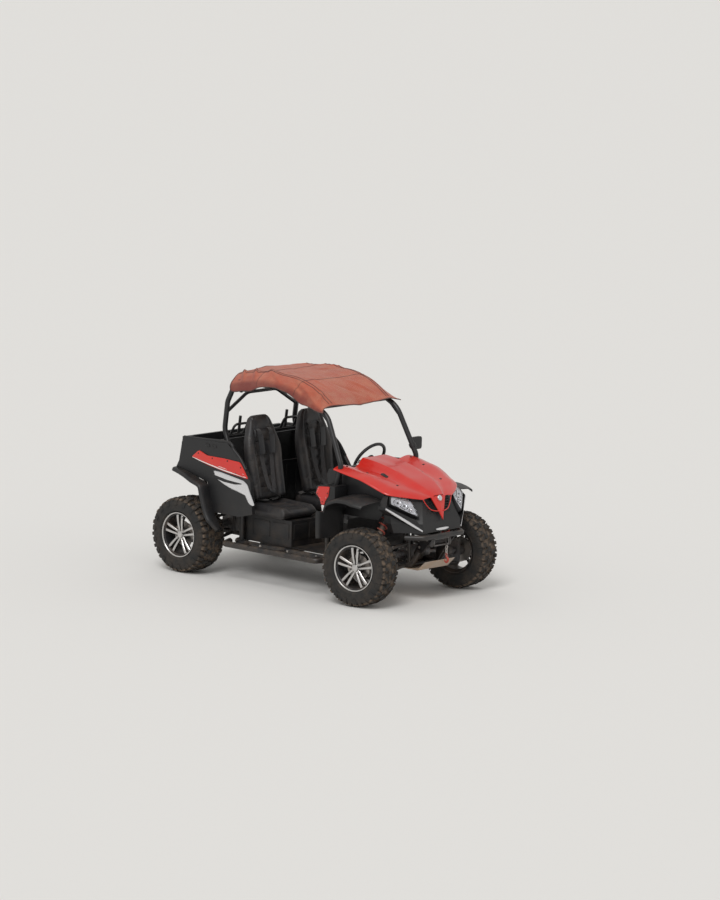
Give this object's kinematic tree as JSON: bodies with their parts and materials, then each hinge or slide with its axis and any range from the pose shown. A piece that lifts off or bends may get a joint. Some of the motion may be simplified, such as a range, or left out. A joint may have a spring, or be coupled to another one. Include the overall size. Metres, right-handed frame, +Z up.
{
  "type": "dune buggy",
  "caption": "Open two-seat dune buggy with a tube cage, fabric roof, knobbly tyres on alloy rims, sculpted hood and a small cargo bed.",
  "frame": {"origin": "on the ground, under the middle of the vehicle's length and width", "axes": "+X to the vehicle's left, +Y to its tail, +Z up"},
  "size_m": [1.5758, 2.772, 1.787],
  "materials": {
    "tyre_rubber": "dusty black rubber, matt",
    "machined_alloy": "machined faces over dark cast pockets",
    "black_frame_paint": "black powder coat, dusty",
    "black_plastic": "grained black moulding",
    "red_gloss": "bright red gloss with a white lower stripe on the side panels",
    "silver_trim": "satin silver",
    "canopy_fabric": "faded red-brown canvas with dark seams",
    "seat_cover": "black grained vinyl with sewn channels",
    "lamp_lens": "clear lens over silver bowls",
    "tail_lens": "red lens",
    "cast_metal": "bare castings, dusty",
    "spring_red": "painted springs on grey dampers",
    "skid_metal": "scuffed plate under sand dust",
    "exhaust_steel": "heat-tinted steel"
  },
  "bodies": {
    "chassis": {"frame_rails": "black_frame_paint", "lower_frame": "black_frame_paint", "floor_pan": "black_plastic", "skid_plate": "skid_metal", "steering_column": "black_frame_paint", "cage_side_left": "black_frame_paint", "cage_side_right": "black_frame_paint", "cage_cross_bars": "black_frame_paint", "canopy": "canopy_fabric", "hood": "red_gloss", "nose_fascia": "black_plastic", "headlights": "lamp_lens", "silver_trims": "silver_trim", "front_bumper": "black_frame_paint", "winch": "cast_metal", "front_fenders": "black_plastic", "red_side_panels": "red_gloss", "dashboard": "black_plastic", "seat_cushions": "seat_cover", "seat_backs": "seat_cover", "engine_block": "cast_metal", "final_drives": "cast_metal", "front_arms": "black_frame_paint", "rear_arms": "black_frame_paint", "shocks": "spring_red", "rear_uprights": "cast_metal", "cargo_bed": "black_plastic", "rear_fenders": "black_plastic", "tail_lamps": "tail_lens", "exhaust": "exhaust_steel", "step_bars": "black_frame_paint", "mirror": "black_plastic"},
    "steering_rack": {"tie_rods": "cast_metal"},
    "steering_wheel": {"steering_wheel": "black_plastic"},
    "tailgate": {"tailgate": "black_plastic"},
    "knuckle_left": {"knuckle_left": "cast_metal"},
    "knuckle_right": {"knuckle_right": "cast_metal"},
    "wheel_front_left": {"tyre_front_left": "tyre_rubber", "rim_front_left": "machined_alloy"},
    "wheel_front_right": {"tyre_front_right": "tyre_rubber", "rim_front_right": "machined_alloy"},
    "wheel_rear_left": {"tyre_rear_left": "tyre_rubber", "rim_rear_left": "machined_alloy"},
    "wheel_rear_right": {"tyre_rear_right": "tyre_rubber", "rim_rear_right": "machined_alloy"}
  },
  "joints": [
    {"name": "steer_left", "type": "hinge", "parent": "chassis", "child": "knuckle_left", "pos_m": [0.562, -0.985, 0.33], "axis": [0, 0, 1], "range_deg": [-38, 22]},
    {"name": "steer_right", "type": "hinge", "parent": "chassis", "child": "knuckle_right", "pos_m": [-0.562, -0.985, 0.33], "axis": [0, 0, 1], "range_deg": [-38, 22]},
    {"name": "steering_wheel_turn", "type": "hinge", "parent": "chassis", "child": "steering_wheel", "pos_m": [0.317, -0.195, 1.045], "axis": [0, 0.848, 0.5299], "range_deg": [-342.5, 198.5]},
    {"name": "rack_slide", "type": "slide", "parent": "chassis", "child": "steering_rack", "axis": [1, 0, 0], "range_m": [-0.0413, 0.0712]},
    {"name": "wheel_front_left_spin", "type": "hinge", "parent": "knuckle_left", "child": "wheel_front_left", "pos_m": [0.63924, -0.97414, 0.33], "axis": [0.9903, 0.1392, 0], "continuous": true},
    {"name": "wheel_front_right_spin", "type": "hinge", "parent": "knuckle_right", "child": "wheel_front_right", "pos_m": [-0.63924, -0.99586, 0.33], "axis": [0.9903, 0.1392, 0], "continuous": true},
    {"name": "wheel_rear_left_spin", "type": "hinge", "parent": "chassis", "child": "wheel_rear_left", "pos_m": [0.615, 1.055, 0.33], "axis": [1, 0, 0], "continuous": true},
    {"name": "wheel_rear_right_spin", "type": "hinge", "parent": "chassis", "child": "wheel_rear_right", "pos_m": [-0.615, 1.055, 0.33], "axis": [1, 0, 0], "continuous": true},
    {"name": "tailgate_hinge", "type": "hinge", "parent": "chassis", "child": "tailgate", "pos_m": [0, 1.1803, 0.911], "axis": [-1, 0, 0], "range_deg": [0, 90]}
  ],
  "couplings": [
    {"joint": "steer_right", "follows": "steer_left", "ratio": 1},
    {"joint": "steering_wheel_turn", "follows": "steer_left", "ratio": 9},
    {"joint": "rack_slide", "follows": "steer_left", "m_per_rad": -0.107}
  ]
}
